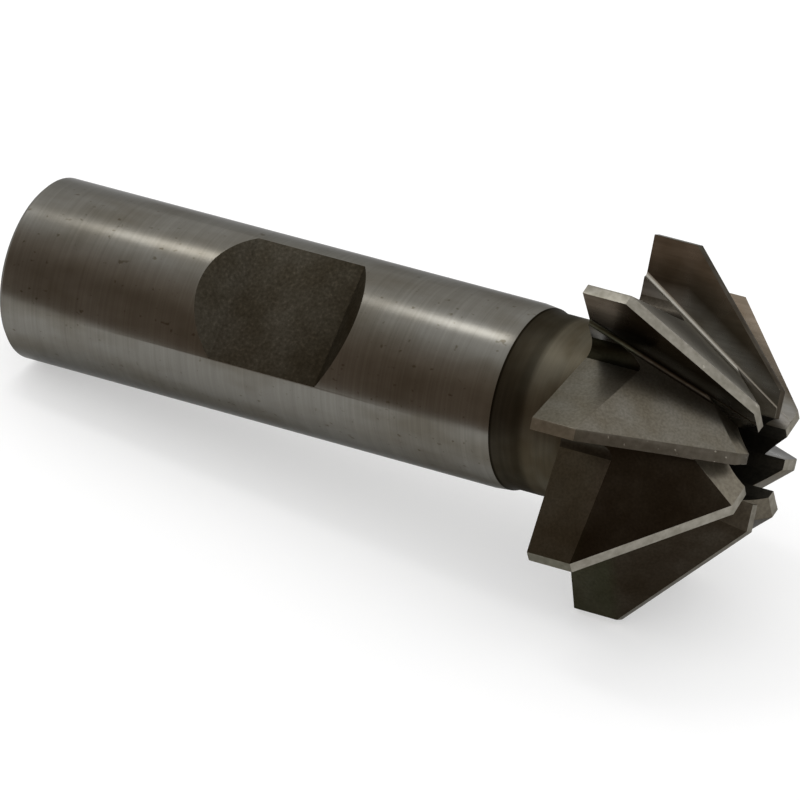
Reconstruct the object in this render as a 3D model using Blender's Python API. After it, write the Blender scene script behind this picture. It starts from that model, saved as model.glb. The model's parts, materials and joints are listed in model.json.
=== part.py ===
"""Face angle cutter: a solid shank-type 45 degree milling cutter with eight straight teeth.

The whole tool is ground from one bar, so it is one object. It is modelled about its own axis,
with +X toward the toothed face, then laid on the floor (+Z up) the way it comes to rest: on two
teeth and on the far end of its shank.
"""

import bpy
import bmesh
from math import asin, atan2, cos, pi, radians, sin, tan
from mathutils import Vector

# Shank, neck and head, in metres
SHANK_DIAMETER = 0.015875
SHANK_LENGTH = 0.0478
SHANK_END_CHAMFER = 0.0004
SHANK_RELIEF_LENGTH = 0.0013
SHANK_RELIEF_DEPTH = 0.00013
SHOULDER_LENGTH = 0.0006
NECK_UNDERCUT = 0.00036
NECK_LENGTH = 0.0078
NECK_FILLET = 0.0006
CUTTER_DIAMETER = 0.0318
RIM_WIDTH = 0.00405
FACE_DIAMETER = 0.0119
FACE_ANGLE = radians(45)

# Clamping flat on the shank
FLAT_DEPTH = 0.00237
FLAT_LENGTH = 0.0103
FLAT_FROM_HEAD = 0.0244
FLAT_RAMP_ANGLE = radians(45)
FLAT_TURN = radians(64.6)

# Centre recess in the face, and the centre hole that the shank's far end was ground on
RECESS_WALL = 0.0023
RECESS_DEPTH = 0.0065
DRILL_TIP_ANGLE = radians(59)
CENTRE_DIAMETER = 0.0040
CENTRE_ANGLE = radians(30)
PILOT_DIAMETER = 0.0016
PILOT_DEPTH = 0.0040

# Teeth and the gullets between them
TEETH = 8
LAND_WIDTH = 0.0010
RIM_FLANK_ANGLE = radians(35)
RIM_FILLET = 0.0011
RIM_LEDGE = 0.00035
CONE_FLANK_ANGLE = radians(38)
CONE_FILLET = 0.0013
END_GULLET_DEPTH = 0.0019
END_GULLET_SLOPE = radians(35)
END_GULLET_STEP = 0.00003

# Modelling values
OVERRUN = 0.0010
ROUND_STEPS = 80
FILLET_STEPS = 4
SMOOTH_ANGLE = radians(20)

STEEL = {"colour": (0.155, 0.143, 0.125), "roughness": 0.38, "metallic": 1.0}

# Sizes that follow from the ones above
shank_radius = SHANK_DIAMETER / 2
neck_radius = shank_radius - NECK_UNDERCUT
rim_radius = CUTTER_DIAMETER / 2
face_radius = FACE_DIAMETER / 2
head_width = RIM_WIDTH + (rim_radius - face_radius) / tan(FACE_ANGLE)
recess_radius = face_radius - RECESS_WALL
centre_radius = CENTRE_DIAMETER / 2
pilot_radius = PILOT_DIAMETER / 2
shank_front = -NECK_LENGTH
shank_back = shank_front - SHANK_LENGTH
pitch = 2 * pi / TEETH


def clear_scene():
    """Start from an empty scene."""
    for thing in list(bpy.data.objects):
        bpy.data.objects.remove(thing)


def steel_material():
    """Ground high-speed steel, darkened by oil and heat."""
    material = bpy.data.materials.new("tool_steel")
    material.use_nodes = True
    shader = material.node_tree.nodes["Principled BSDF"]
    shader.inputs["Base Color"].default_value = (*STEEL["colour"], 1)
    shader.inputs["Roughness"].default_value = STEEL["roughness"]
    shader.inputs["Metallic"].default_value = STEEL["metallic"]
    return material


def add_object(name, mesh_data):
    """Turn a bmesh into a closed object with its faces out."""
    bmesh.ops.recalc_face_normals(mesh_data, faces=mesh_data.faces)
    mesh = bpy.data.meshes.new(name)
    mesh_data.to_mesh(mesh)
    mesh_data.free()
    thing = bpy.data.objects.new(name, mesh)
    bpy.context.scene.collection.objects.link(thing)
    return thing


def arc(centre, radius, start, end, steps):
    """Points of an arc in a profile plane, both ends included."""
    turns = [start + (end - start) * step / steps for step in range(steps + 1)]
    return [(centre[0] + radius * cos(turn), centre[1] + radius * sin(turn)) for turn in turns]


def blank_profile():
    """Half section of the turned blank as (place along the axis, radius), shank to face."""
    fillet_centre = (-NECK_FILLET, neck_radius + NECK_FILLET)
    recess_floor = head_width - RECESS_DEPTH
    recess_tip = recess_floor - recess_radius / tan(DRILL_TIP_ANGLE)
    pilot_mouth = shank_back + (centre_radius - pilot_radius) / tan(CENTRE_ANGLE)
    pilot_floor = shank_back + PILOT_DEPTH
    return [
        (pilot_floor + pilot_radius / tan(DRILL_TIP_ANGLE), 0),
        (pilot_floor, pilot_radius),
        (pilot_mouth, pilot_radius),
        (shank_back, centre_radius),
        (shank_back, shank_radius - SHANK_END_CHAMFER),
        (shank_back + SHANK_END_CHAMFER, shank_radius),
        (shank_front - SHANK_RELIEF_LENGTH, shank_radius),
        (shank_front, shank_radius - SHANK_RELIEF_DEPTH),
        (shank_front + SHOULDER_LENGTH, neck_radius),
        *arc(fillet_centre, NECK_FILLET, -pi / 2, 0, FILLET_STEPS),
        (0, rim_radius),
        (RIM_WIDTH, rim_radius),
        (head_width, face_radius),
        (head_width, recess_radius),
        (recess_floor, recess_radius),
        (recess_tip, 0),
    ]


def turned_blank():
    """Spin the half section about the tool's axis."""
    bm = bmesh.new()
    start = pi / ROUND_STEPS
    profile = [(along, -out * sin(start), out * cos(start)) for along, out in blank_profile()]
    corners = [bm.verts.new(place) for place in profile]
    edges = [bm.edges.new(pair) for pair in zip(corners, corners[1:])]
    bmesh.ops.spin(bm, geom=corners + edges, cent=(0, 0, 0), axis=(1, 0, 0),
                   angle=2 * pi, steps=ROUND_STEPS, use_merge=True)
    bmesh.ops.remove_doubles(bm, verts=bm.verts, dist=SHANK_END_CHAMFER / ROUND_STEPS)
    return add_object("angle_cutter", bm)


def gullet_place(along, out, side, turn):
    """A point given from a tooth's cutting face: out along it and to the side of it."""
    return Vector((along, -out * sin(turn) - side * cos(turn), out * cos(turn) - side * sin(turn)))


def land_corner(radius):
    """Where the next tooth's land ends, as (out, side) from this tooth's cutting face."""
    turn = pitch - asin(LAND_WIDTH / radius)
    return radius * cos(turn), radius * sin(turn)


def flank_lean(flank_angle):
    """How far a tooth's flank leans out from square to the cutting face of the tooth behind."""
    return pi / 2 - pitch + asin(LAND_WIDTH / rim_radius) - flank_angle


def flank_foot(radius, lean):
    """Where the flank that ends at this radius would meet the cutting face behind it."""
    out, side = land_corner(radius)
    return out - side * tan(lean)


def gullet_section(flank_angle, fillet, ledge):
    """Section of a milled gullet at the rim: wall, round root and flank, as (out, side)."""
    lean = flank_lean(flank_angle)
    corner_out = flank_foot(rim_radius, lean) + ledge * tan(lean)
    wall_out = corner_out + fillet / tan((pi / 2 - lean) / 2)
    root = arc((wall_out, ledge + fillet), fillet, -pi / 2, -pi - lean, FILLET_STEPS)
    out, side = land_corner(rim_radius)
    flank_end = (out + OVERRUN * sin(lean), side + OVERRUN * cos(lean))
    top = rim_radius + OVERRUN
    return [(top, ledge), *root, flank_end, (top, flank_end[1])]


def add_prism(bm, section, travel):
    """Fill a ring of points and extrude it, as one closed cutter."""
    face = bm.faces.new([bm.verts.new(place) for place in section])
    grown = bmesh.ops.extrude_face_region(bm, geom=[face], use_keep_orig=True)
    moved = [item for item in grown["geom"] if isinstance(item, bmesh.types.BMVert)]
    bmesh.ops.translate(bm, vec=travel, verts=moved)


def rim_gullets():
    """Straight gullets of the cylindrical rim, parallel to the axis."""
    bm = bmesh.new()
    outline = gullet_section(RIM_FLANK_ANGLE, RIM_FILLET, RIM_LEDGE)
    for tooth in range(TEETH):
        turn = tooth * pitch
        section = [gullet_place(-OVERRUN, out, side, turn) for out, side in outline]
        add_prism(bm, section, Vector((RIM_WIDTH + 2 * OVERRUN, 0, 0)))
    return add_object("rim_gullets", bm)


def cone_gullets():
    """Sloping gullets that leave a land of even width along the angled edge."""
    bm = bmesh.new()
    lean = flank_lean(CONE_FLANK_ANGLE)
    drop = flank_foot(rim_radius, lean) - flank_foot(face_radius, lean)
    slope = drop / (head_width - RIM_WIDTH)
    lift = slope * (RIM_WIDTH + OVERRUN)
    length = head_width + 2 * OVERRUN
    outline = gullet_section(CONE_FLANK_ANGLE, CONE_FILLET, 0)
    for tooth in range(TEETH):
        turn = tooth * pitch
        section = [gullet_place(-OVERRUN, out + lift, side, turn) for out, side in outline]
        add_prism(bm, section, gullet_place(length, -slope * length, 0, turn))
    return add_object("cone_gullets", bm)


def end_gullets():
    """Vee gullets across the face, from the centre recess out to the sloping gullets.

    They are a grind of their own, so they leave a hairline step on the cutting faces.
    """
    bm = bmesh.new()
    top = head_width + OVERRUN / 2
    inner = recess_radius - OVERRUN
    outer = rim_radius - LAND_WIDTH
    land_out, land_side = land_corner(face_radius)
    fall = tan(END_GULLET_SLOPE)
    rim_root = head_width - END_GULLET_DEPTH
    root_at_land = rim_root - (land_out - recess_radius) * fall
    rise = (head_width - root_at_land) / land_side
    for tooth in range(TEETH):
        turn = tooth * pitch
        section = []
        for out in (inner, outer):
            root = rim_root - (out - recess_radius) * fall
            side = (top - root) / rise
            section.append([
                gullet_place(root, out, END_GULLET_STEP, turn),
                gullet_place(top, out, side, turn),
                gullet_place(top, out, END_GULLET_STEP, turn),
            ])
        rings = [[bm.verts.new(place) for place in ring] for ring in section]
        edges = [bm.edges.new((ring[i - 1], ring[i])) for ring in rings for i in range(len(ring))]
        bmesh.ops.bridge_loops(bm, edges=edges)
        for ring in rings:
            bm.faces.new(ring)
    return add_object("end_gullets", bm)


def shank_flat():
    """Cutter for the clamping flat, with a ramp at each end."""
    bm = bmesh.new()
    floor = shank_radius - FLAT_DEPTH
    top = shank_radius + OVERRUN
    ramp = (top - floor) / tan(FLAT_RAMP_ANGLE)
    front = -FLAT_FROM_HEAD
    back = front - FLAT_LENGTH
    outline = [(back, floor), (front, floor), (front + ramp, top), (back - ramp, top)]
    section = [gullet_place(along, out, -top, FLAT_TURN) for along, out in outline]
    add_prism(bm, section, gullet_place(0, 0, 2 * top, FLAT_TURN))
    return add_object("shank_flat", bm)


def cut(body, cutter):
    """Subtract a hidden cutter from the body."""
    cutter.hide_render = True
    cutter.display_type = "WIRE"
    modifier = body.modifiers.new(cutter.name, "BOOLEAN")
    modifier.operation = "DIFFERENCE"
    modifier.solver = "EXACT"
    modifier.use_self = True
    modifier.object = cutter


def bake(body):
    """Apply the cuts so that the body can be smoothed and measured, and drop the cutters."""
    graph = bpy.context.evaluated_depsgraph_get()
    finished = bpy.data.meshes.new_from_object(body.evaluated_get(graph))
    cutters = [modifier.object for modifier in body.modifiers]
    body.modifiers.clear()
    body.data = finished
    for cutter in cutters:
        bpy.data.objects.remove(cutter)


def smooth_round_faces(body):
    """Shade the turned surfaces smooth and keep every ground edge sharp."""
    body.data.shade_smooth()
    body.data.set_sharp_from_angle(angle=SMOOTH_ANGLE)


def lay_down(body):
    """Rest the tool on the two lowest teeth and the far rim of the shank."""
    gap = pitch - asin(LAND_WIDTH / rim_radius)
    lowest = (TEETH // 2) * pitch + gap / 2
    reach = -shank_back - SHANK_END_CHAMFER
    tilt = atan2(rim_radius * cos(gap / 2) - shank_radius, reach)
    body.rotation_euler = (pi - lowest, -tilt, 0)
    turned = body.rotation_euler.to_matrix()
    places = [turned @ vertex.co for vertex in body.data.vertices]
    low = Vector([min(place[axis] for place in places) for axis in range(3)])
    high = Vector([max(place[axis] for place in places) for axis in range(3)])
    body.location = (-(low.x + high.x) / 2, -(low.y + high.y) / 2, -low.z)


def main():
    """Build the cutter and lay it down."""
    clear_scene()
    body = turned_blank()
    for cutter in (rim_gullets(), cone_gullets(), end_gullets(), shank_flat()):
        cut(body, cutter)
    bake(body)
    smooth_round_faces(body)
    body.data.materials.clear()
    body.data.materials.append(steel_material())
    lay_down(body)


main()
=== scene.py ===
# %% [markdown]
# A face angle cutter is ground from one bar of high-speed steel: a round shank, a short neck and a
# toothed head with a 45 degree cone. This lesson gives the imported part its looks. The part that
# comes in is exact but faceted and plain, so the whole tool is modelled again over it with finer
# rounds and softened edges, and each surface then gets the finish that its own machine left on it.

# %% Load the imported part
import json
from math import asin, atan, atan2, cos, degrees, pi, radians, sin, tan

import bmesh
import bpy
from mathutils import Matrix, Vector


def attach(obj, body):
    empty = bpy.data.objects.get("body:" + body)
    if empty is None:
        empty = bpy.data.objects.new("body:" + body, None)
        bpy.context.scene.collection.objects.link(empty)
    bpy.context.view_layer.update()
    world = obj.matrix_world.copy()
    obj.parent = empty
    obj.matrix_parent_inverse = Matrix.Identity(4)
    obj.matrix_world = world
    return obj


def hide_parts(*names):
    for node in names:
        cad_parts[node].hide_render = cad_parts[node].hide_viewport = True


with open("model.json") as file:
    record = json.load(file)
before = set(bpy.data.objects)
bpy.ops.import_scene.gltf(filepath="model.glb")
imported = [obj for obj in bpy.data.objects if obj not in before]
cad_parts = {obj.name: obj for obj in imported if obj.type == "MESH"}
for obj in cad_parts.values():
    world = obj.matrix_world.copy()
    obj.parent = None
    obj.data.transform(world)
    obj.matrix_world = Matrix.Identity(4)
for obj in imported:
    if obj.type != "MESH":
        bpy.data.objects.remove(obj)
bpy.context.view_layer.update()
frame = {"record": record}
NODE = "angle_cutter"
mounts = {mount["name"]: mount for mount in frame["record"]["mounts"]}

# %% [markdown]
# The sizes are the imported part's own, in metres. Only one differs: the round in the roots of the
# sloping gullets is 0.4 mm here and 1.3 mm there. On the real tool it shows as a thin bright line,
# and a wide round would spread that line into a band. The planes on both sides of it are the same.

# %% Sizes in metres
SHANK_DIAMETER = 0.015875
SHANK_LENGTH = 0.0478
SHANK_END_CHAMFER = 0.0004
SHANK_RELIEF_LENGTH = 0.0013
SHANK_RELIEF_DEPTH = 0.00013
SHOULDER_LENGTH = 0.0006
NECK_UNDERCUT = 0.00036
NECK_LENGTH = 0.0078
NECK_FILLET = 0.0006
CUTTER_DIAMETER = 0.0318
RIM_WIDTH = 0.00405
FACE_DIAMETER = 0.0119
FACE_ANGLE = radians(45)
FLAT_DEPTH = 0.00237
FLAT_LENGTH = 0.0103
FLAT_FROM_HEAD = 0.0244
FLAT_RAMP_ANGLE = radians(45)
FLAT_TURN = radians(64.6)
RECESS_WALL = 0.0023
RECESS_DEPTH = 0.0065
DRILL_TIP_ANGLE = radians(59)
CENTRE_DIAMETER = 0.0040
CENTRE_ANGLE = radians(30)
PILOT_DIAMETER = 0.0016
PILOT_DEPTH = 0.0040
TEETH = 8
LAND_WIDTH = 0.0010
RIM_FLANK_ANGLE = radians(35)
RIM_FILLET = 0.0011
RIM_LEDGE = 0.00035
CONE_FLANK_ANGLE = radians(38)
CONE_FILLET = 0.0004
END_GULLET_DEPTH = 0.0019
END_GULLET_SLOPE = radians(35)
END_GULLET_STEP = 0.00003
OVERRUN = 0.0010
NEAR = 0.0001
TOUCHING = 0.00001

shank_radius = SHANK_DIAMETER / 2
neck_radius = shank_radius - NECK_UNDERCUT
rim_radius = CUTTER_DIAMETER / 2
face_radius = FACE_DIAMETER / 2
head_width = RIM_WIDTH + (rim_radius - face_radius) / tan(FACE_ANGLE)
recess_radius = face_radius - RECESS_WALL
shank_front = -NECK_LENGTH
shank_back = shank_front - SHANK_LENGTH
pitch = 2 * pi / TEETH
print("head is", round(head_width * 1000, 2), "mm long")

# %% [markdown]
# The tool lies on the floor on two teeth and on the far rim of its shank, so its axis isn't level.
# Modelling is easier on a level axis. So the tool is modelled along X, with X = 0 at the back of
# the head and the first cutting face straight up, and it is laid down at the end. Its place is
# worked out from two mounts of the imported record: the flat and the end of the shank.

# %% Where the tool lies
tool_x = -Vector(mounts["shank_end"]["axis"])
flat_out = Vector(mounts["clamping_flat"]["axis"])
tool_z = (Matrix.Rotation(-FLAT_TURN, 3, tool_x) @ flat_out).normalized()
tool_y = tool_z.cross(tool_x)
flat_middle = -FLAT_FROM_HEAD - FLAT_LENGTH / 2
flat_height = shank_radius - FLAT_DEPTH
flat_place = Vector(mounts["clamping_flat"]["pos_m"])
tool_origin = flat_place - flat_middle * tool_x - flat_height * flat_out
lay_down = Matrix.Translation(tool_origin) @ Matrix((tool_x, tool_y, tool_z)).transposed().to_4x4()
print("tool origin in mm:", [round(value * 1000, 2) for value in tool_origin])

# %% [markdown]
# Each surface keeps its own material from the start: the blank's faces get theirs by place, and
# each cutter carries the finish that it leaves, which a Boolean hands on to the new faces. The
# materials are filled in later, when the shape is done.

# %% Material slots
FINISHES = [
    "ground_shank_steel",
    "turned_neck_steel",
    "ground_land_steel",
    "milled_rake_steel",
    "milled_flank_steel",
    "ground_root_steel",
    "milled_root_steel",
    "ground_end_steel",
    "milled_flat_steel",
    "turned_back_steel",
    "drilled_recess_steel",
]
materials = {name: bpy.data.materials.new(name) for name in FINISHES}
print("finishes:", len(materials))


def give_slots(thing):
    """Give an object every finish, in one order, so that a face's number means the same on each."""
    for name in FINISHES:
        thing.data.materials.append(materials[name])


# %% [markdown]
# Small helpers for work in edit mode. An operator acts on whatever is selected, so each helper
# first clears the selection and then picks faces or edges by where they are.

# %% Edit helpers
def only(thing):
    """Select one object alone and make it active."""
    if bpy.context.mode != "OBJECT":
        bpy.ops.object.mode_set(mode="OBJECT")
    bpy.ops.object.select_all(action="DESELECT")
    thing.select_set(True)
    bpy.context.view_layer.objects.active = thing


def pick(thing, kind, test):
    """In edit mode, select the faces or edges whose middle passes a test."""
    bpy.ops.mesh.select_all(action="DESELECT")
    bpy.ops.mesh.select_mode(type="FACE" if kind == "faces" else "EDGE")
    mesh = bmesh.from_edit_mesh(thing.data)
    found = 0
    for item in getattr(mesh, kind):
        middle = sum((corner.co for corner in item.verts), Vector()) / len(item.verts)
        if test(middle, item):
            item.select_set(True)
            found += 1
    mesh.select_flush_mode()
    bmesh.update_edit_mesh(thing.data)
    return found


def apply_modifiers(thing):
    """Apply an object's modifiers from the top down."""
    only(thing)
    for modifier in list(thing.modifiers):
        bpy.ops.object.modifier_apply(modifier=modifier.name)


# %% [markdown]
# The blank is turned on a lathe, so its surface is a stack of rings. By hand one could draw half a
# section and spin it. Here a disc at the shank's end is extruded and scaled ring by ring, which
# never turns the shape inside out and leaves the end closed.

# %% Turn the blank
ROUND_STEPS = 240
FILLET_STEPS = 8

bpy.ops.object.select_all(action="DESELECT")
bpy.ops.mesh.primitive_circle_add(vertices=ROUND_STEPS, radius=shank_radius - SHANK_END_CHAMFER,
                                  fill_type="NGON", location=(shank_back, 0, 0),
                                  rotation=(0, pi / 2, 0))
cutter = bpy.context.object
cutter.name = "fine_angle_cutter"
bpy.ops.object.transform_apply()
ring = {"along": shank_back, "radius": shank_radius - SHANK_END_CHAMFER}


def turn_to(along, radius):
    """Extrude the selected face to the next ring of the turned shape."""
    bpy.ops.mesh.extrude_region_move(TRANSFORM_OT_translate={"value": (along - ring["along"], 0, 0)})
    share = radius / ring["radius"]
    bpy.ops.transform.resize(value=(1, share, share), center_override=(along, 0, 0))
    ring.update(along=along, radius=radius)


def close_tip(along):
    """Draw the selected face together to a point on the axis."""
    turn_to(along, ring["radius"])
    bpy.ops.mesh.merge(type="CENTER")


recess_floor = head_width - RECESS_DEPTH
bpy.ops.object.mode_set(mode="EDIT")
bpy.ops.mesh.select_all(action="SELECT")
turn_to(shank_back + SHANK_END_CHAMFER, shank_radius)
turn_to(shank_front - SHANK_RELIEF_LENGTH, shank_radius)
turn_to(shank_front, shank_radius - SHANK_RELIEF_DEPTH)
turn_to(shank_front + SHOULDER_LENGTH, neck_radius)
for step in range(FILLET_STEPS + 1):
    angle = pi / 2 * step / FILLET_STEPS
    turn_to(-NECK_FILLET * (1 - sin(angle)), neck_radius + NECK_FILLET * (1 - cos(angle)))
turn_to(0, rim_radius)
turn_to(RIM_WIDTH, rim_radius)
turn_to(head_width, face_radius)
turn_to(head_width, recess_radius)
turn_to(recess_floor, recess_radius)
close_tip(recess_floor - recess_radius / tan(DRILL_TIP_ANGLE))
print("recess ends", round(ring["along"] * 1000, 2), "mm from the back of the head")

# %% [markdown]
# The shank was ground between centres, so its far end has a centre hole: a small drilled pilot
# with a 60 degree mouth.

# %% Centre hole
centre_radius = CENTRE_DIAMETER / 2
pilot_radius = PILOT_DIAMETER / 2
pick(cutter, "faces", lambda middle, face: abs(middle.x - shank_back) < NEAR
     and face.normal.x < 0 and len(face.verts) == ROUND_STEPS)
ring.update(along=shank_back, radius=shank_radius - SHANK_END_CHAMFER)
turn_to(shank_back, centre_radius)
turn_to(shank_back + (centre_radius - pilot_radius) / tan(CENTRE_ANGLE), pilot_radius)
turn_to(shank_back + PILOT_DEPTH, pilot_radius)
close_tip(shank_back + PILOT_DEPTH + pilot_radius / tan(DRILL_TIP_ANGLE))
bpy.ops.mesh.select_all(action="SELECT")
bpy.ops.mesh.normals_make_consistent(inside=False)
bpy.ops.object.mode_set(mode="OBJECT")
print("turned blank:", len(cutter.data.polygons), "faces")

# %% [markdown]
# Each face of the blank gets the finish of the tool that made it. The face's place along the axis
# and its distance out from the axis say which tool that was.

# %% Finish of each turned face
def turned_finish(middle):
    """The finish of a face of the blank, from its place along and out from the axis."""
    out = Vector((middle.y, middle.z)).length
    if middle.x < shank_front:
        return "ground_shank_steel"
    if middle.x < -NECK_FILLET / 2 or out < neck_radius + NECK_FILLET and middle.x < NEAR:
        return "turned_neck_steel"
    if middle.x < NEAR:
        return "turned_back_steel"
    if out < recess_radius + NEAR:
        return "drilled_recess_steel"
    return "ground_land_steel"


give_slots(cutter)
for face in cutter.data.polygons:
    face.material_index = FINISHES.index(turned_finish(face.center))

# %% [markdown]
# A gullet is what a milling cutter leaves between two teeth. Its wall is the cutting face of one
# tooth, its sloping side is the relief flank of the next tooth, and a round root joins them. As a
# solid to subtract it is a wedge: a cube with one face in the wall's plane, sliced along the
# flank's plane, with the edge between them bevelled round. Which way a face points is read from its
# normal, and three values say what counts as square, as facing down and as straight across.

# %% Planes of a gullet
def land_corner(along, radius):
    """Where the next tooth's land ends, seen from the first tooth's cutting face."""
    turn = pitch - asin(LAND_WIDTH / radius)
    return Vector((along, -radius * sin(turn), radius * cos(turn)))


def flank_lean(flank_angle):
    """How far a flank leans out from square to the cutting face behind it."""
    return pi / 2 - pitch + asin(LAND_WIDTH / rim_radius) - flank_angle


def root_height(corner, lean):
    """How far from the axis a flank through this corner meets the cutting face behind it."""
    return corner.z + corner.y * tan(lean)


# %% Cut a wedge
SQUARE = 0.01
DOWNWARD = -0.5
STRAIGHT = 0.999


def wedge(name, low, high, plane_point, plane_normal):
    """A cube between two corners, with what lies beyond a plane sliced away."""
    middle = (Vector(low) + Vector(high)) / 2
    bpy.ops.object.select_all(action="DESELECT")
    bpy.ops.mesh.primitive_cube_add(size=1, location=middle, scale=Vector(high) - Vector(low))
    bpy.ops.object.transform_apply()
    thing = bpy.context.object
    thing.name = name
    bpy.ops.object.mode_set(mode="EDIT")
    bpy.ops.mesh.select_all(action="SELECT")
    bpy.ops.mesh.bisect(plane_co=plane_point, plane_no=plane_normal, use_fill=True,
                        clear_inner=True)
    give_slots(thing)
    return thing


def round_root(thing, wall, width, finish):
    """Bevel the edge between the wall and the flank of a gullet wedge."""
    def upright(face):
        return abs(face.normal.y) > abs(face.normal.z) and abs(face.normal.x) < SQUARE

    bpy.ops.object.mode_set(mode="EDIT")
    pick(thing, "edges", lambda middle, edge: abs(middle.y + wall) < TOUCHING
         and any(upright(face) for face in edge.link_faces)
         and any(face.normal.z < DOWNWARD for face in edge.link_faces))
    bpy.ops.mesh.bevel(offset_type="OFFSET", offset=width, segments=FILLET_STEPS, affect="EDGES",
                       material=FINISHES.index(finish))
    bpy.ops.object.mode_set(mode="OBJECT")


def paint_wedge(thing, wall_finish, other_finish):
    """Give the wall of a wedge one finish and the rest another."""
    bpy.ops.object.mode_set(mode="OBJECT")
    for face in thing.data.polygons:
        finish = wall_finish if face.normal.y > STRAIGHT else other_finish
        face.material_index = FINISHES.index(finish)


def all_round(thing):
    """Copy a wedge round the tool, once for each tooth, and join the copies."""
    copies = [thing]
    for tooth in range(1, TEETH):
        only(thing)
        bpy.ops.object.duplicate()
        bpy.context.object.rotation_euler = (tooth * pitch, 0, 0)
        copies.append(bpy.context.object)
    only(thing)
    for copy in copies:
        copy.select_set(True)
    bpy.ops.object.join()
    bpy.ops.object.transform_apply()
    return thing


# %% [markdown]
# Behind the rim the gullet runs level. Its wall stands a little in front of the cutting face, which
# leaves a ledge at the foot of the tooth, and its root is widely rounded.

# %% Rim gullets
rim_lean = flank_lean(RIM_FLANK_ANGLE)
rim_corner = land_corner(RIM_WIDTH, rim_radius)
rim_root = root_height(rim_corner, rim_lean)
top = rim_radius + OVERRUN
rim_gullet = wedge("rim_gullet", (-OVERRUN, -top, 0), (RIM_WIDTH + OVERRUN, -RIM_LEDGE, top),
                   rim_corner, (0, sin(rim_lean), cos(rim_lean)))
paint_wedge(rim_gullet, "milled_rake_steel", "milled_flank_steel")
rim_bevel = RIM_FILLET / tan((pi / 2 - rim_lean) / 2)
round_root(rim_gullet, RIM_LEDGE, rim_bevel, "milled_root_steel")
all_round(rim_gullet)
print("rim gullets reach to", round(rim_root * 1000, 2), "mm from the axis")

# %% [markdown]
# On the cone the gullet sinks toward the face, so that the land keeps one width along the angled
# edge: the flank's plane passes through the land's end at the rim and at the face.

# %% Cone gullets
cone_lean = flank_lean(CONE_FLANK_ANGLE)
rim_end = land_corner(RIM_WIDTH, rim_radius)
face_end = land_corner(head_width, face_radius)
fall = root_height(rim_end, cone_lean) - root_height(face_end, cone_lean)
slope = atan(fall / (head_width - RIM_WIDTH))
flank_way = Vector((0, -cos(cone_lean), sin(cone_lean)))
root_way = Vector((cos(slope), 0, -sin(slope)))
cone_normal = flank_way.cross(root_way)
if cone_normal.z < 0:
    cone_normal.negate()
cone_gullet = wedge("cone_gullet", (-OVERRUN, -top, 0), (head_width + OVERRUN, 0, top),
                    rim_end, cone_normal)
paint_wedge(cone_gullet, "milled_rake_steel", "milled_flank_steel")
cone_bevel = CONE_FILLET / tan((pi / 2 - cone_lean) / 2) * cos(slope)
round_root(cone_gullet, 0, cone_bevel, "ground_root_steel")
all_round(cone_gullet)
print("cone gullets fall at", round(degrees(slope), 1), "degrees")

# %% [markdown]
# The gullets across the face are vees that start at the recess. They are a grind of their own, so
# they leave a hairline step on the cutting faces.

# %% Face gullets
vee_start = head_width - END_GULLET_DEPTH
vee_fall = tan(END_GULLET_SLOPE)
root_at_land = vee_start - (face_end.z - recess_radius) * vee_fall
vee_rise = (head_width - root_at_land) / -face_end.y
face_gullet = wedge("face_gullet", (0, -top, recess_radius - OVERRUN),
                    (head_width + OVERRUN / 2, -END_GULLET_STEP, rim_radius - LAND_WIDTH),
                    (vee_start, -END_GULLET_STEP, recess_radius), (1, vee_rise, vee_fall))
paint_wedge(face_gullet, "milled_rake_steel", "ground_end_steel")
all_round(face_gullet)
print("face gullets start", round(END_GULLET_DEPTH * 1000, 2), "mm below the front")

# %% [markdown]
# The clamping flat is milled across the shank with an angle cutter, which leaves a ramp at each
# end. Its cutter is a block with both ends sliced off on a slant, turned to the flat's place.

# %% Clamping flat
flat_front = -FLAT_FROM_HEAD
flat_back = flat_front - FLAT_LENGTH
ramp = (top - flat_height) / tan(FLAT_RAMP_ANGLE)
flat_block = wedge("flat_block", (flat_back - ramp, -top, flat_height),
                   (flat_front + ramp, top, top), (flat_front, 0, flat_height),
                   (-sin(FLAT_RAMP_ANGLE), 0, cos(FLAT_RAMP_ANGLE)))
bpy.ops.mesh.select_all(action="SELECT")
bpy.ops.mesh.bisect(plane_co=(flat_back, 0, flat_height), use_fill=True, clear_inner=True,
                    plane_no=(sin(FLAT_RAMP_ANGLE), 0, cos(FLAT_RAMP_ANGLE)))
paint_wedge(flat_block, "milled_flat_steel", "milled_flat_steel")
flat_block.rotation_euler = (FLAT_TURN, 0, 0)
only(flat_block)
bpy.ops.object.transform_apply()
print("flat lies", round(flat_height * 1000, 2), "mm from the axis")

# %% [markdown]
# The cuts are Booleans with the exact solver, applied one after the other. Each hands its own
# finish on to the faces that it leaves.

# %% Make the cuts
blocks = (rim_gullet, cone_gullet, face_gullet, flat_block)
for block in blocks:
    modifier = cutter.modifiers.new(block.name, "BOOLEAN")
    modifier.operation = "DIFFERENCE"
    modifier.solver = "EXACT"
    modifier.use_self = True
    modifier.material_mode = "TRANSFER"
    modifier.object = block
apply_modifiers(cutter)
for block in blocks:
    bpy.data.objects.remove(block)
print("cut head:", len(cutter.data.polygons), "faces")

# %% [markdown]
# No outer edge of a real tool is perfectly sharp: a hair of wear on each catches the light. The
# outer edges get a bevel weight, and a narrow bevel follows it. The cutting edges, between a cutting
# face and its land, stay sharp, and so do the inner corners. A weld before and after it merges
# corners that lie so close that only slivers would be left between them.

# %% Soften the outer edges
EDGE_WEAR = 0.00003
EDGE_ANGLE = radians(24)
WELD = 0.000008
LAST_WELD = 0.000001

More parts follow.
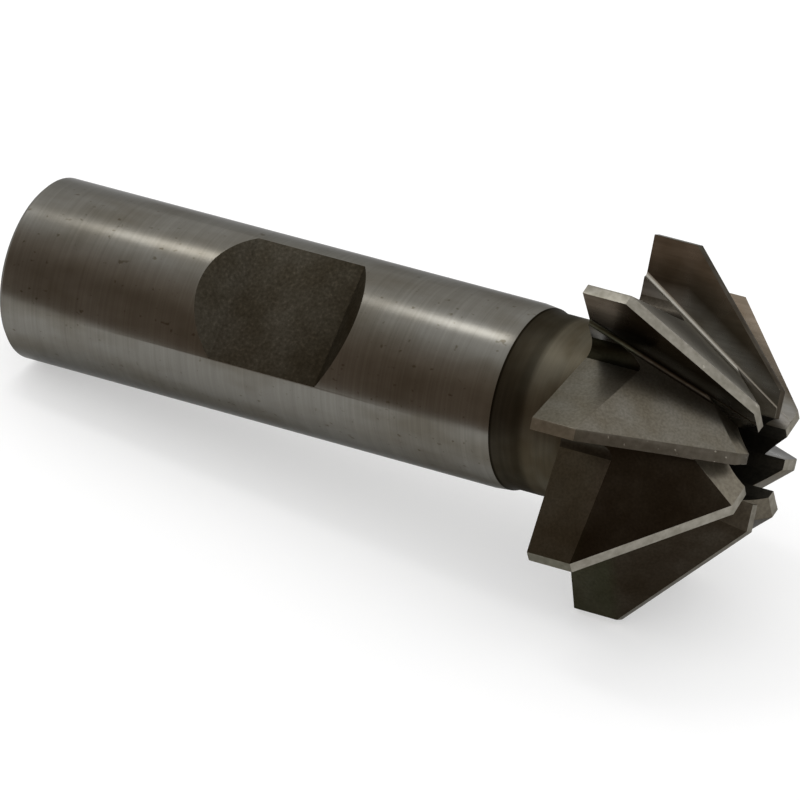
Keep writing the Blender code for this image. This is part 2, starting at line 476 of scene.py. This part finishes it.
only(cutter)
bpy.ops.object.mode_set(mode="EDIT")
bpy.ops.mesh.select_all(action="SELECT")
bpy.ops.mesh.remove_doubles(threshold=WELD)
bpy.ops.mesh.normals_make_consistent(inside=False)
cutting_pair = {FINISHES.index("milled_rake_steel"), FINISHES.index("ground_land_steel")}
worn = pick(cutter, "edges", lambda middle, edge: len(edge.link_faces) == 2 and edge.is_convex
            and edge.calc_face_angle() > EDGE_ANGLE
            and {face.material_index for face in edge.link_faces} != cutting_pair)
bpy.ops.transform.edge_bevelweight(value=1)
bpy.ops.object.mode_set(mode="OBJECT")
bevel = cutter.modifiers.new("edge wear", "BEVEL")
bevel.width = EDGE_WEAR
bevel.segments = 2
bevel.limit_method = "WEIGHT"
bevel.use_clamp_overlap = False
apply_modifiers(cutter)
bpy.ops.object.mode_set(mode="EDIT")
bpy.ops.mesh.select_all(action="SELECT")
bpy.ops.mesh.remove_doubles(threshold=LAST_WELD)
bpy.ops.mesh.dissolve_degenerate(threshold=LAST_WELD)
bpy.ops.object.mode_set(mode="OBJECT")
bpy.ops.object.shade_smooth_by_angle(angle=EDGE_ANGLE)
print("worn edges:", worn, "and faces:", len(cutter.data.polygons))

# %% [markdown]
# The teeth are painted lighter or darker tooth by tooth: partly the uneven tint of cutting oil and
# heat, partly painted shade on teeth that lie low by the floor or in the shade of others, and partly
# painted light on faces that catch the light. Some flanks are nearly black and some bright. Each
# finish of the teeth gets eight amounts of tarnish and painted shade, one for each gullet, counted
# round the axis: a gullet's amounts hold for the cutting face behind it and for the roots, flank,
# land and front facet on its other side. Flank and land have amounts of their own on the rim. A
# negative amount paints the steel bright: fresh-ground steel and painted light. The faces carry the
# amounts as an attribute. A gullet's share of the circle starts a hair before its cutting face, so
# that it holds that face.

# %% Tarnish and painted shade of each tooth
TARNISH_AND_SHADE = {
    "milled_rake_steel": (0.00, 0.20, 0.50, 0.40, 0.30, 0.25, 0.20, 0.00),
    "milled_flank_steel": (-0.80, 0.08, 1.00, 1.00, 0.55, 0.40, 0.30, 0.10),
    "ground_land_steel": (0.15, 0.80, 0.12, 0.40, 0.30, 0.20, 0.20, 0.90),
    "ground_root_steel": (-0.50, 1.00, 0.50, 0.40, 0.30, 0.30, 0.20, 0.20),
    "milled_root_steel": (0.10, 1.00, 0.60, 0.60, 0.40, 0.30, 0.20, 0.20),
    "ground_end_steel": (0.00, 0.00, 0.00, 0.90, 0.45, 0.10, 0.10, 0.10),
}
RIM_TARNISH_AND_SHADE = {
    "milled_flank_steel": (-0.80, 0.33, 0.58, 1.00, 0.45, 0.32, 0.24, 0.08),
    "ground_land_steel": (0.12, 0.28, 0.65, 0.31, 0.25, 0.16, 0.16, 0.70),
}
SECTOR_START = 0.002

tarnish = cutter.data.attributes.new("tarnish", "FLOAT", "FACE")
for face, amount in zip(cutter.data.polygons, tarnish.data):
    finish = FINISHES[face.material_index]
    on_rim = face.center.x < RIM_WIDTH and finish in RIM_TARNISH_AND_SHADE
    amounts = (RIM_TARNISH_AND_SHADE if on_rim else TARNISH_AND_SHADE).get(finish)
    if amounts:
        turn = atan2(-face.center.y, face.center.z) + SECTOR_START
        amount.value = amounts[int(turn // pitch) % TEETH]
print("tarnished faces:", sum(item.value > 0 for item in tarnish.data))

# %% [markdown]
# The finished mesh is turned and moved as a whole, so its object stays at the origin and the mesh
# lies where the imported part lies. It takes that part's place, and rides on the one body there is.

# %% Lay the tool down
cutter.data.transform(lay_down)
cutter.data.update()
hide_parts(NODE)
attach(cutter, "root")
print("laid down:", cutter.name, "in place of", NODE)

# %% [markdown]
# Every finish is one Principled shader. Colours are written as they look on a screen and turned
# to the linear values that the shader works in. Patterns are noise in the tool's own axes, with
# their grain in real metres, so a long grain round the axis makes the rings of turned steel. One
# pixel of the render is about 0.09 mm, and the real marks of a wheel or of blasting grit are 0.02 to
# 0.05 mm apart. They would not show, so the finest patterns are drawn at about 0.2 to 0.3 mm.

# %% Material helpers
TOOL_TURN = lay_down.to_euler()


def screen_colour(code):
    """A hex colour as seen on screen, as linear red, green, blue and alpha."""
    parts = [int(code[place:place + 2], 16) / 255 for place in (1, 3, 5)]
    return (*[part / 12.92 if part <= 0.04045 else ((part + 0.055) / 1.055) ** 2.4
              for part in parts], 1)


def add_node(tree, kind, settings=None, values=None, links=None, stops=None):
    """Add one shader node with its settings, socket values, links and colour stops."""
    node = tree.nodes.new(kind)
    for name, value in (settings or {}).items():
        setattr(node, name, value)
    for name, value in (values or {}).items():
        node.inputs[name].default_value = value
    for name, socket in (links or {}).items():
        tree.links.new(socket, node.inputs[name])
    for number, (place, code) in enumerate(stops or []):
        ramp = node.color_ramp.elements
        stop = ramp[number] if number < 2 else ramp.new(place)
        stop.position = place
        stop.color = screen_colour(code)
    return node


def in_tool_axes(tree, size=(1, 1, 1)):
    """Object coordinates in the tool's own axes, in steps of this size in metres."""
    place = add_node(tree, "ShaderNodeTexCoord")
    return add_node(tree, "ShaderNodeMapping", {"vector_type": "TEXTURE"},
                    {"Location": tool_origin, "Rotation": TOOL_TURN, "Scale": size},
                    {"Vector": place.outputs["Object"]}).outputs["Vector"]


def grain(tree, size, detail=2.0):
    """A pattern with a grain of this size in metres along the tool's axes."""
    return add_node(tree, "ShaderNodeTexNoise", values={"Scale": 1, "Detail": detail},
                    links={"Vector": in_tool_axes(tree, size)}).outputs["Fac"]


def along_tool(tree, start, end, low=0.0, high=1.0):
    """A value that goes from low to high between two places along the tool's axis."""
    place = add_node(tree, "ShaderNodeSeparateXYZ", links={"Vector": in_tool_axes(tree)})
    return add_node(tree, "ShaderNodeMapRange", links={"Value": place.outputs["X"]}, values={
        "From Min": start, "From Max": end, "To Min": low, "To Max": high}).outputs["Result"]


def layered(tree, *layers):
    """A colour made of layers, each a pattern and its colours, that darken one another."""
    colour = None
    for pattern, stops in layers:
        layer = add_node(tree, "ShaderNodeValToRGB", links={"Fac": pattern}, stops=stops)
        below, colour = colour, layer.outputs["Color"]
        if below is not None:
            colour = add_node(tree, "ShaderNodeMixRGB", {"blend_type": "MULTIPLY"}, {"Fac": 1},
                              {"Color1": below, "Color2": colour}).outputs["Color"]
    return colour


# %% [markdown]
# All the steels share one wiring. A film of oil takes away some of the mirror that bare metal shows
# at a glancing view, so the edge tint is grey. Where the surface was brushed by a wheel or a lathe
# tool, its marks run round the axis. The tangent that the shader stretches reflections by is the
# direction round the axis, which is square to both the axis and the surface's normal.

# %% Wire a steel
EDGE_TINT = "#B4B4B4"
QUARTER_TURN = 0.25


def tree_of(name):
    """The node tree of a finish."""
    materials[name].use_nodes = True
    return materials[name].node_tree


def finish_steel(name, colour, gloss, roughness, relief, relief_depth, brushed=0.0):
    """Wire one steel: its colour, its roughness range from a pattern and its relief in metres."""
    tree = materials[name].node_tree
    shader = tree.nodes["Principled BSDF"]
    shader.inputs["Metallic"].default_value = 1
    shader.inputs["Specular Tint"].default_value = screen_colour(EDGE_TINT)
    tree.links.new(colour, shader.inputs["Base Color"])
    rough = add_node(tree, "ShaderNodeMapRange", links={"Value": gloss},
                     values={"To Min": roughness[0], "To Max": roughness[1]})
    tree.links.new(rough.outputs["Result"], shader.inputs["Roughness"])
    bump = add_node(tree, "ShaderNodeBump", values={"Distance": relief_depth},
                    links={"Height": relief})
    tree.links.new(bump.outputs["Normal"], shader.inputs["Normal"])
    if brushed:
        shader.inputs["Anisotropic"].default_value = brushed
        shader.inputs["Anisotropic Rotation"].default_value = QUARTER_TURN
        geometry = add_node(tree, "ShaderNodeNewGeometry")
        round_way = add_node(tree, "ShaderNodeVectorMath", {"operation": "CROSS_PRODUCT"},
                             {0: tool_x}, {1: geometry.outputs["Normal"]})
        tree.links.new(round_way.outputs["Vector"], shader.inputs["Tangent"])
    print(name, "has", len(tree.nodes), "nodes")


# %% [markdown]
# High-speed steel, cylindrically ground: the shank. The wheel leaves hair-fine rings round the axis.
# They smear reflections along the shank, so a long bright line and crisp dark bands run down it. Old
# oil has left pale clouds and a few dark specks. The rings are drawn ten times as wide as they are.

# %% Ground shank
WHEEL_RINGS = (0.00022, 0.012, 0.012)
OIL_CLOUDS = (0.009, 0.004, 0.004)
OIL_SPECKS = (0.0006, 0.0005, 0.0005)

tree = tree_of("ground_shank_steel")
rings = grain(tree, WHEEL_RINGS, detail=3)
clouds = grain(tree, OIL_CLOUDS, detail=3)
specks = grain(tree, OIL_SPECKS, detail=1)
colour = layered(tree, (rings, [(0.3, "#6D6B65"), (0.7, "#76746E")]),
                 (clouds, [(0.32, "#DDD8D0"), (0.60, "#FFFFFF")]),
                 (specks, [(0.22, "#CFC9BF"), (0.31, "#FFFFFF")]))
finish_steel("ground_shank_steel", colour, gloss=clouds, roughness=(0.32, 0.26), relief=rings,
             relief_depth=0.0000003, brushed=0.7)

# %% [markdown]
# The same steel, turned: the neck. It was left from the lathe and heat treatment, with coarser rings
# and an olive-brown skin. It is darker in a band next to the shank, and a thin dark line on the
# shoulder is painted shade.

# %% Turned neck
NECK_BAND = 0.0026
NECK_BAND_EDGE = 0.07
LATHE_RINGS = (0.00035, 0.010, 0.010)
NECK_CLOUDS = (0.003, 0.004, 0.004)

tree = tree_of("turned_neck_steel")
rings = grain(tree, LATHE_RINGS, detail=3)
clouds = grain(tree, NECK_CLOUDS)
from_shank = along_tool(tree, shank_front, 0.0)
band_end = NECK_BAND / NECK_LENGTH
# The second layer: a thin dark line on the shoulder, painted shade, then a darker band by the shank.
colour = layered(tree, (rings, [(0.3, "#524E43"), (0.7, "#5B564A")]),
                 (from_shank, [(0.0, "#8A8680"), (0.012, "#57524A"), (0.03, "#A9A7A6"),
                               (band_end, "#B4B3B1"), (band_end + NECK_BAND_EDGE, "#FFFFFF")]),
                 (clouds, [(0.35, "#D8D0C4"), (0.65, "#FFFFFF")]))
finish_steel("turned_neck_steel", colour, gloss=clouds, roughness=(0.56, 0.48), relief=rings,
             relief_depth=0.0000012, brushed=0.3)

# %% [markdown]
# The same steel, faced on the lathe: the back of the head. It lies in the shadow of the neck, so it
# looks dark, with a fine uneven grain.

# %% Turned back
FACING_MARKS = (0.004, 0.0005, 0.0005)

tree = tree_of("turned_back_steel")
marks = grain(tree, FACING_MARKS, detail=3)
colour = layered(tree, (marks, [(0.3, "#47423A"), (0.7, "#5A554B")]))
finish_steel("turned_back_steel", colour, gloss=marks, roughness=(0.44, 0.34), relief=marks,
             relief_depth=0.000004)

# %% [markdown]
# The teeth are milled, hardened and ground. An amount of one turns the bright steel to a film of
# burnt oil and painted shade: olive on the rim, red-brown on the cone. A negative amount mixes in a
# bright grey, fresh steel and painted light. The attribute made above says how much, and soft
# patches make the film a little thicker here and thinner there.

# %% Tarnish film and painted shade
RIM_FILM_AND_SHADE = "#7A7D6D"
CONE_FILM_AND_SHADE = "#6D645B"
FRESH_AND_LIT = "#B4B0A6"
FILM_BLEND = 0.0006
FILM_PATCHES = (0.004, 0.004, 0.004)
PATCH_RANGE = {"From Min": 0.3, "From Max": 0.7, "To Min": 0.92, "To Max": 1.06}


def tarnished_and_shaded(tree, colour):
    """A tooth's colour under its film of burnt oil and painted shade, or painted bright for a
    negative amount.
    """
    amount = add_node(tree, "ShaderNodeAttribute", {"attribute_name": "tarnish"}).outputs["Fac"]
    onto_cone = along_tool(tree, RIM_WIDTH - FILM_BLEND, RIM_WIDTH + FILM_BLEND)
    film_and_shade = layered(tree, (onto_cone, [(0, RIM_FILM_AND_SHADE), (1, CONE_FILM_AND_SHADE)]))
    uneven = add_node(tree, "ShaderNodeMapRange", values=PATCH_RANGE,
                      links={"Value": grain(tree, FILM_PATCHES, detail=3)})
    strength = add_node(tree, "ShaderNodeMath", {"operation": "MULTIPLY", "use_clamp": True},
                        links={0: amount, 1: uneven.outputs["Result"]})
    film_and_shade_over = add_node(tree, "ShaderNodeMixRGB", {"blend_type": "MULTIPLY"}, links={
        "Fac": strength.outputs["Value"], "Color1": colour, "Color2": film_and_shade})
    fresh_and_lit = add_node(tree, "ShaderNodeMath", {"operation": "MULTIPLY", "use_clamp": True},
                     {1: -1}, {0: amount})
    return add_node(tree, "ShaderNodeMixRGB", values={"Color2": screen_colour(FRESH_AND_LIT)}, links={
        "Fac": fresh_and_lit.outputs["Value"], "Color1": film_and_shade_over.outputs["Color"]}).outputs["Color"]


# %% [markdown]
# Milled and ground cutting faces: smooth, with faint marks along the tooth. Bands of painted
# reflection and shade lie on them: a painted blue-grey reflection at the foot, a band of painted
# shade above it, then brown. The bands follow the foot of the tooth, which comes nearer to the axis
# from the rim to the front.

# %% Cutting faces
PAINTED_BAND_REACH = 0.006
# Painted reflection at the foot, painted shade above it, then brown.
PAINTED_BAND_STOPS = [(0.0, "#F8FAFC"), (0.20, "#DCE0E4"), (0.40, "#8C857B"), (0.62, "#AEA498"),
                (0.80, "#D6C9BC")]
TOOTH_MARKS = (0.003, 0.0003, 0.0003)
TOOTH_CLOUDS = (0.003, 0.003, 0.003)
ACROSS = (0, 1, 1)


def above_root(tree):
    """How far out from the foot of the teeth, as a share of the painted bands' reach."""
    across = add_node(tree, "ShaderNodeVectorMath", {"operation": "MULTIPLY"}, {1: ACROSS},
                      {0: in_tool_axes(tree)})
    out = add_node(tree, "ShaderNodeVectorMath", {"operation": "LENGTH"},
                   links={0: across.outputs["Vector"]})
    foot = along_tool(tree, RIM_WIDTH, head_width, root_height(rim_end, cone_lean),
                      root_height(face_end, cone_lean))
    height = add_node(tree, "ShaderNodeMath", {"operation": "SUBTRACT"},
                      links={0: out.outputs["Value"], 1: foot})
    return add_node(tree, "ShaderNodeMapRange", values={"From Max": PAINTED_BAND_REACH},
                    links={"Value": height.outputs["Value"]}).outputs["Result"]


tree = tree_of("milled_rake_steel")
marks = grain(tree, TOOTH_MARKS, detail=3)
clouds = grain(tree, TOOTH_CLOUDS)
colour = layered(tree, (marks, [(0.3, "#7C7974"), (0.7, "#8A8782")]),
                 (clouds, [(0.35, "#DAD5CC"), (0.65, "#FFFFFF")]),
                 (above_root(tree), PAINTED_BAND_STOPS))
finish_steel("milled_rake_steel", tarnished_and_shaded(tree, colour), gloss=clouds, roughness=(0.34, 0.22),
             relief=marks, relief_depth=0.000001)

# %% [markdown]
# Ground root: a narrow glossy round at the foot of each tooth, which draws a thin light line there.
# Its colour is a little lighter than the cutting faces', and its amounts per gullet make it bright
# in
# one gullet and dark in the next: painted highlight and painted shade.

# %% Roots
ROOT_MARKS = (0.002, 0.0002, 0.0002)

tree = tree_of("ground_root_steel")
marks = grain(tree, ROOT_MARKS)
colour = layered(tree, (marks, [(0.3, "#7E7A72"), (0.7, "#96928A")]))
finish_steel("ground_root_steel", tarnished_and_shaded(tree, colour), gloss=marks, roughness=(0.34, 0.26),
             relief=marks, relief_depth=0.000001)

# %% [markdown]
# Milled flanks: the matt skin from hardening, finely speckled where the blasting grit struck it. The
# real dents are about 0.05 mm across, and the speckle is drawn four times as coarse.

# %% Flanks
GRIT_DENTS = (0.00022, 0.00022, 0.00022)
FLANK_CLOUDS = (0.004, 0.003, 0.003)

tree = tree_of("milled_flank_steel")
speckle = grain(tree, GRIT_DENTS)
clouds = grain(tree, FLANK_CLOUDS)
colour = layered(tree, (speckle, [(0.3, "#67635A"), (0.7, "#77736A")]),
                 (clouds, [(0.35, "#E8E3DA"), (0.65, "#FFFFFF")]))
finish_steel("milled_flank_steel", tarnished_and_shaded(tree, colour), gloss=speckle, roughness=(0.36, 0.28),
             relief=speckle, relief_depth=0.000003)

# %% [markdown]
# The round root behind the rim has the same skin as the flanks but is duller, and its colour is
# painted darker: painted shade in the corner of the gullet.

# %% Rim roots
tree = tree_of("milled_root_steel")
speckle = grain(tree, GRIT_DENTS)
colour = layered(tree, (speckle, [(0.3, "#454039"), (0.7, "#514C44")]))
finish_steel("milled_root_steel", tarnished_and_shaded(tree, colour), gloss=speckle, roughness=(0.50, 0.42),
             relief=speckle, relief_depth=0.000003)

# %% [markdown]
# Ground end facets: where the face gullets run out, the wheel left a fine even grey.

# %% End facets
WHEEL_GRIT = (0.0003, 0.0003, 0.0003)

tree = tree_of("ground_end_steel")
speckle = grain(tree, WHEEL_GRIT)
colour = layered(tree, (speckle, [(0.3, "#6B655A"), (0.7, "#7C7669")]))
finish_steel("ground_end_steel", tarnished_and_shaded(tree, colour), gloss=speckle, roughness=(0.40, 0.32),
             relief=speckle, relief_depth=0.000003)

# %% [markdown]
# Ground lands: the narrow strips behind the cutting edges. Use has rubbed them, so they are uneven
# and carry a few bright nicks.

# %% Lands
RUBBED_PATCHES = (0.0006, 0.0006, 0.0006)
NICKS = (0.00035, 0.00035, 0.00035)

tree = tree_of("ground_land_steel")
wear = grain(tree, RUBBED_PATCHES, detail=3)
nicks = grain(tree, NICKS, detail=0)
colour = tarnished_and_shaded(tree, layered(tree, (wear, [(0.3, "#827E73"), (0.7, "#98948A")])))
bright_nicks = layered(tree, (nicks, [(0.80, "#000000"), (0.86, "#6E6A62")]))
nicked = add_node(tree, "ShaderNodeMixRGB", {"blend_type": "SCREEN"}, {"Fac": 1},
                  {"Color1": colour, "Color2": bright_nicks})
finish_steel("ground_land_steel", nicked.outputs["Color"], gloss=wear, roughness=(0.44, 0.34),
             relief=wear, relief_depth=0.000008)

# %% [markdown]
# Milled flat: left dark and matt by the hardening furnace, with fine pits. It is a little darker
# toward the head.

# %% Clamping flat
PITS = (0.00028, 0.00028, 0.00028)
SCALE_CLOUDS = (0.003, 0.003, 0.003)

tree = tree_of("milled_flat_steel")
pits = grain(tree, PITS)
clouds = grain(tree, SCALE_CLOUDS, detail=3)
toward_head = along_tool(tree, flat_back, flat_front)
colour = layered(tree, (pits, [(0.25, "#413D34"), (0.6, "#4F4B42"), (0.75, "#5C574D")]),
                 (clouds, [(0.35, "#E0DBD2"), (0.65, "#FFFFFF")]),
                 (toward_head, [(0.5, "#FFFFFF"), (1.0, "#D2CEC6")]))
finish_steel("milled_flat_steel", colour, gloss=pits, roughness=(0.68, 0.6), relief=pits,
             relief_depth=0.000006)

# %% [markdown]
# Drilled recess: a deep hole, painted almost black as painted shade inside it.

# %% Recess
RECESS_SHADE_GRAIN = (0.0006, 0.0006, 0.0006)

tree = tree_of("drilled_recess_steel")
recess_shade_grain = grain(tree, RECESS_SHADE_GRAIN)
colour = layered(tree, (recess_shade_grain, [(0.3, "#302E29"), (0.7, "#403D36")]))
finish_steel("drilled_recess_steel", colour, gloss=recess_shade_grain, roughness=(0.6, 0.5), relief=recess_shade_grain,
             relief_depth=0.00001)

# %% [markdown]
# The tool lies on white paper. The camera and the metal's reflections see the paper lifted to white
# by a little glow, which lights nothing else, so the tool's soft shadow still falls on it.

# %% Floor
FLOOR_SIZE = 3
FLOOR_LIFT = 0.42
PAPER = "#CDCDCD"
PAPER_ROUGHNESS = 0.9
WHITE = (1, 1, 1, 1)

bpy.ops.mesh.primitive_plane_add(size=FLOOR_SIZE, location=(0, 0, 0))
floor = bpy.context.object
floor.name = "floor"
paper = bpy.data.materials.new("white_paper")
paper.use_nodes = True
tree = paper.node_tree
sheet = tree.nodes["Principled BSDF"]
sheet.inputs["Base Color"].default_value = screen_colour(PAPER)
sheet.inputs["Roughness"].default_value = PAPER_ROUGHNESS
sheet.inputs["Emission Color"].default_value = WHITE
path = add_node(tree, "ShaderNodeLightPath")
seen = path.outputs["Is Camera Ray"]
for ray in ("Is Glossy Ray", "Is Transmission Ray"):
    seen = add_node(tree, "ShaderNodeMath", {"operation": "MAXIMUM"},
                    links={0: seen, 1: path.outputs[ray]}).outputs["Value"]
lift = add_node(tree, "ShaderNodeMath", {"operation": "MULTIPLY"}, {1: FLOOR_LIFT}, {0: seen})
tree.links.new(lift.outputs["Value"], sheet.inputs["Emission Strength"])
floor.data.materials.append(paper)
print("floor is", FLOOR_SIZE, "m across")

# %% [markdown]
# The world is plain white at a strength of one. It gives the soft light from all sides that a
# tent of white cloth would.

# %% World
WORLD_STRENGTH = 1

world = bpy.data.worlds.new("studio")
bpy.context.scene.world = world
world.use_nodes = True
background = world.node_tree.nodes["Background"]
background.inputs["Color"].default_value = WHITE
background.inputs["Strength"].default_value = WORLD_STRENGTH
print("world strength", WORLD_STRENGTH)

# %% [markdown]
# Metal mirrors its white surroundings and would look flat. A dark card that only reflections see
# stands in front of the tool, as a photographer would place one: it gives the dark bands that make
# round steel look round. It pales toward its top, so the bands fade out upward, and a little toward
# the shank's end, which is lighter than the head.

# %% Dark card
CARD_TOP = 0.100
CARD_LEFT = (-0.25, 0.02)
CARD_RIGHT = (0.25, -0.09)
CARD_STOPS = [(0.22, "#857566"), (0.32, "#9F9183"), (0.42, "#B4AAA1"), (0.56, "#CDC8C2"),
              (0.71, "#EBEAE8"), (0.85, "#FFFFFF")]
CARD_PALING = {"From Min": -0.070, "From Max": -0.020, "To Min": 0.16, "To Max": 0.02}

bpy.ops.mesh.primitive_plane_add(size=1, location=(0, 0, 0))
card = bpy.context.object
card.name = "dark_card"
corners = [(*CARD_LEFT, 0), (*CARD_RIGHT, 0), (*CARD_LEFT, CARD_TOP), (*CARD_RIGHT, CARD_TOP)]
for vertex, place in zip(card.data.vertices, corners):
    vertex.co = place
felt = bpy.data.materials.new("grey_felt")
felt.use_nodes = True
tree = felt.node_tree
tree.nodes.clear()
place = add_node(tree, "ShaderNodeSeparateXYZ", links={
    "Vector": add_node(tree, "ShaderNodeTexCoord").outputs["Object"]})
upward = add_node(tree, "ShaderNodeMapRange", values={"From Max": CARD_TOP},
                  links={"Value": place.outputs["Z"]})
sideways = add_node(tree, "ShaderNodeMapRange", values=CARD_PALING,
                    links={"Value": place.outputs["X"]})
shade = add_node(tree, "ShaderNodeMixRGB", values={"Color2": WHITE}, links={
    "Fac": sideways.outputs["Result"],
    "Color1": layered(tree, (upward.outputs["Result"], CARD_STOPS))})
glow = add_node(tree, "ShaderNodeEmission", links={"Color": shade.outputs["Color"]})
add_node(tree, "ShaderNodeOutputMaterial", links={"Surface": glow.outputs["Emission"]})
card.data.materials.append(felt)
card.visible_camera = False
card.visible_shadow = False
card.visible_diffuse = False
card.visible_transmission = False
print("card is", round(CARD_TOP * 1000), "mm tall")

# %% [markdown]
# A strip softbox hangs over the tool, in line with it and to the shank's side, and draws the thin
# bright line down the whole shank.

# %% Softbox
LAMP_HEIGHT = 0.35
LAMP_ALONG = -0.155
LAMP_LENGTH = 0.16
LAMP_WIDTH = 0.060
LAMP_GLOW = 5.6
LAMP_LEAN = 0.039

lamp_up = Vector((0, LAMP_LEAN, 1))
lamp_up = (lamp_up - lamp_up.dot(tool_x) * tool_x).normalized()
lamp = bpy.data.lights.new("softbox", "AREA")
lamp.shape = "RECTANGLE"
lamp.size = LAMP_LENGTH
lamp.size_y = LAMP_WIDTH
lamp.energy = LAMP_GLOW * pi * LAMP_LENGTH * LAMP_WIDTH
lamp_object = bpy.data.objects.new("softbox", lamp)
bpy.context.scene.collection.objects.link(lamp_object)
lamp_place = tool_origin + tool_x * LAMP_ALONG + lamp_up * LAMP_HEIGHT
lamp_facing = Matrix((tool_x, lamp_up.cross(tool_x), lamp_up)).transposed().to_4x4()
lamp_object.matrix_world = Matrix.Translation(lamp_place) @ lamp_facing
print("softbox gives", round(lamp.energy, 3), "W")

# %% [markdown]
# The photograph was taken from some distance with a long lens, a little turned about its own axis.

# %% Camera
CAMERA_TARGET = (0.0014, -0.0015, 0.0097)
CAMERA_DISTANCE = 0.7843
CAMERA_AZIMUTH = radians(-63.579)
CAMERA_ELEVATION = radians(29.764)
CAMERA_ROLL = radians(8.162)
LENS_MM = 422.1
SENSOR_MM = 36

camera = bpy.data.cameras.new("camera")
camera.lens = LENS_MM
camera.sensor_width = SENSOR_MM
camera_object = bpy.data.objects.new("camera", camera)
bpy.context.scene.collection.objects.link(camera_object)
view_way = Vector((cos(CAMERA_ELEVATION) * cos(CAMERA_AZIMUTH),
                   cos(CAMERA_ELEVATION) * sin(CAMERA_AZIMUTH), sin(CAMERA_ELEVATION)))
facing = view_way.to_track_quat("Z", "Y").to_matrix() @ Matrix.Rotation(CAMERA_ROLL, 3, "Z")
camera_place = Vector(CAMERA_TARGET) + view_way * CAMERA_DISTANCE
camera_object.matrix_world = Matrix.Translation(camera_place) @ facing.to_4x4()
bpy.context.scene.camera = camera_object
bpy.context.scene.view_settings.view_transform = "Standard"
print("camera stands", CAMERA_DISTANCE, "m away")
